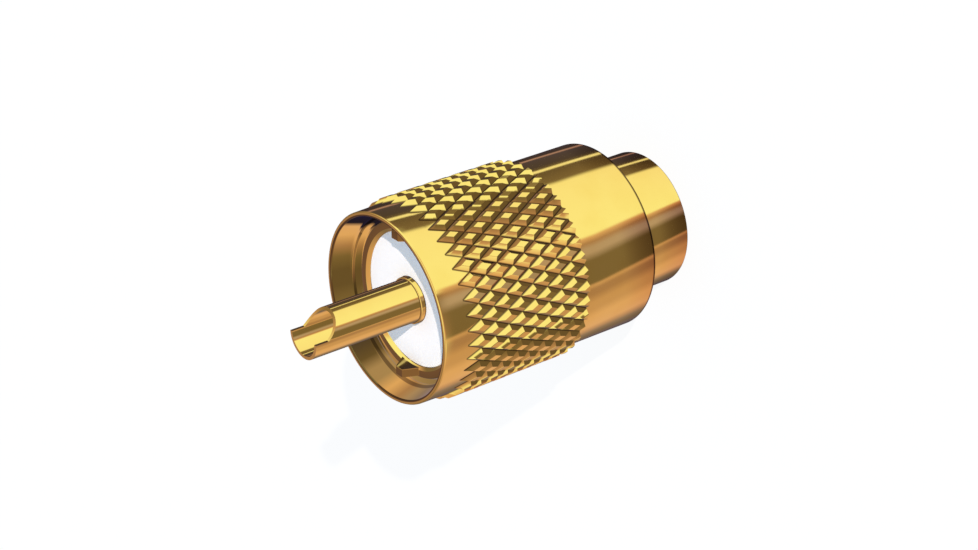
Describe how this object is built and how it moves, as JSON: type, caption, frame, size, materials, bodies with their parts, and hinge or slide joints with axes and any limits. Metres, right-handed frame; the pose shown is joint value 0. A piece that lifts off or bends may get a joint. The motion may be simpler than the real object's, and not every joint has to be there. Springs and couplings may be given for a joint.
{
  "type": "uhf coaxial plug",
  "caption": "Gold-plated coaxial plug with a knurled coupling ring, a hollow scoop-tipped centre pin, a white insulator and a clamp for the cable.",
  "frame": {"origin": "centre of the cable end's flat rear face, on which the plug stands", "axes": "+Z along the plug's axis, from the cable end to the centre pin's tip"},
  "size_m": [0.0186, 0.0186, 0.0385],
  "materials": {
    "gold_plate": "polished gold plate on brass",
    "snap_wire": "plain spring bronze",
    "insulator": "white, smooth, slightly waxy",
    "gasket": "black moulded rubber",
    "washer": "plain turned brass"
  },
  "bodies": {
    "body": {"plug_body": "gold_plate", "front_insulator": "insulator", "centre_pin": "gold_plate", "rear_insulator": "insulator", "braid_clamp": "gold_plate", "gasket": "gasket", "thrust_washer": "washer", "clamp_nut": "gold_plate"},
    "snap_ring": {"snap_ring": "snap_wire"},
    "coupling_ring": {"coupling_ring": "gold_plate"}
  },
  "joints": [
    {"name": "ring_slide", "type": "slide", "parent": "body", "child": "snap_ring", "axis": [0, 0, 1], "range_m": [0, 0.00545]},
    {"name": "ring_spin", "type": "hinge", "parent": "snap_ring", "child": "coupling_ring", "pos_m": [0, 0, 0.01625], "axis": [0, 0, 1], "continuous": true}
  ]
}
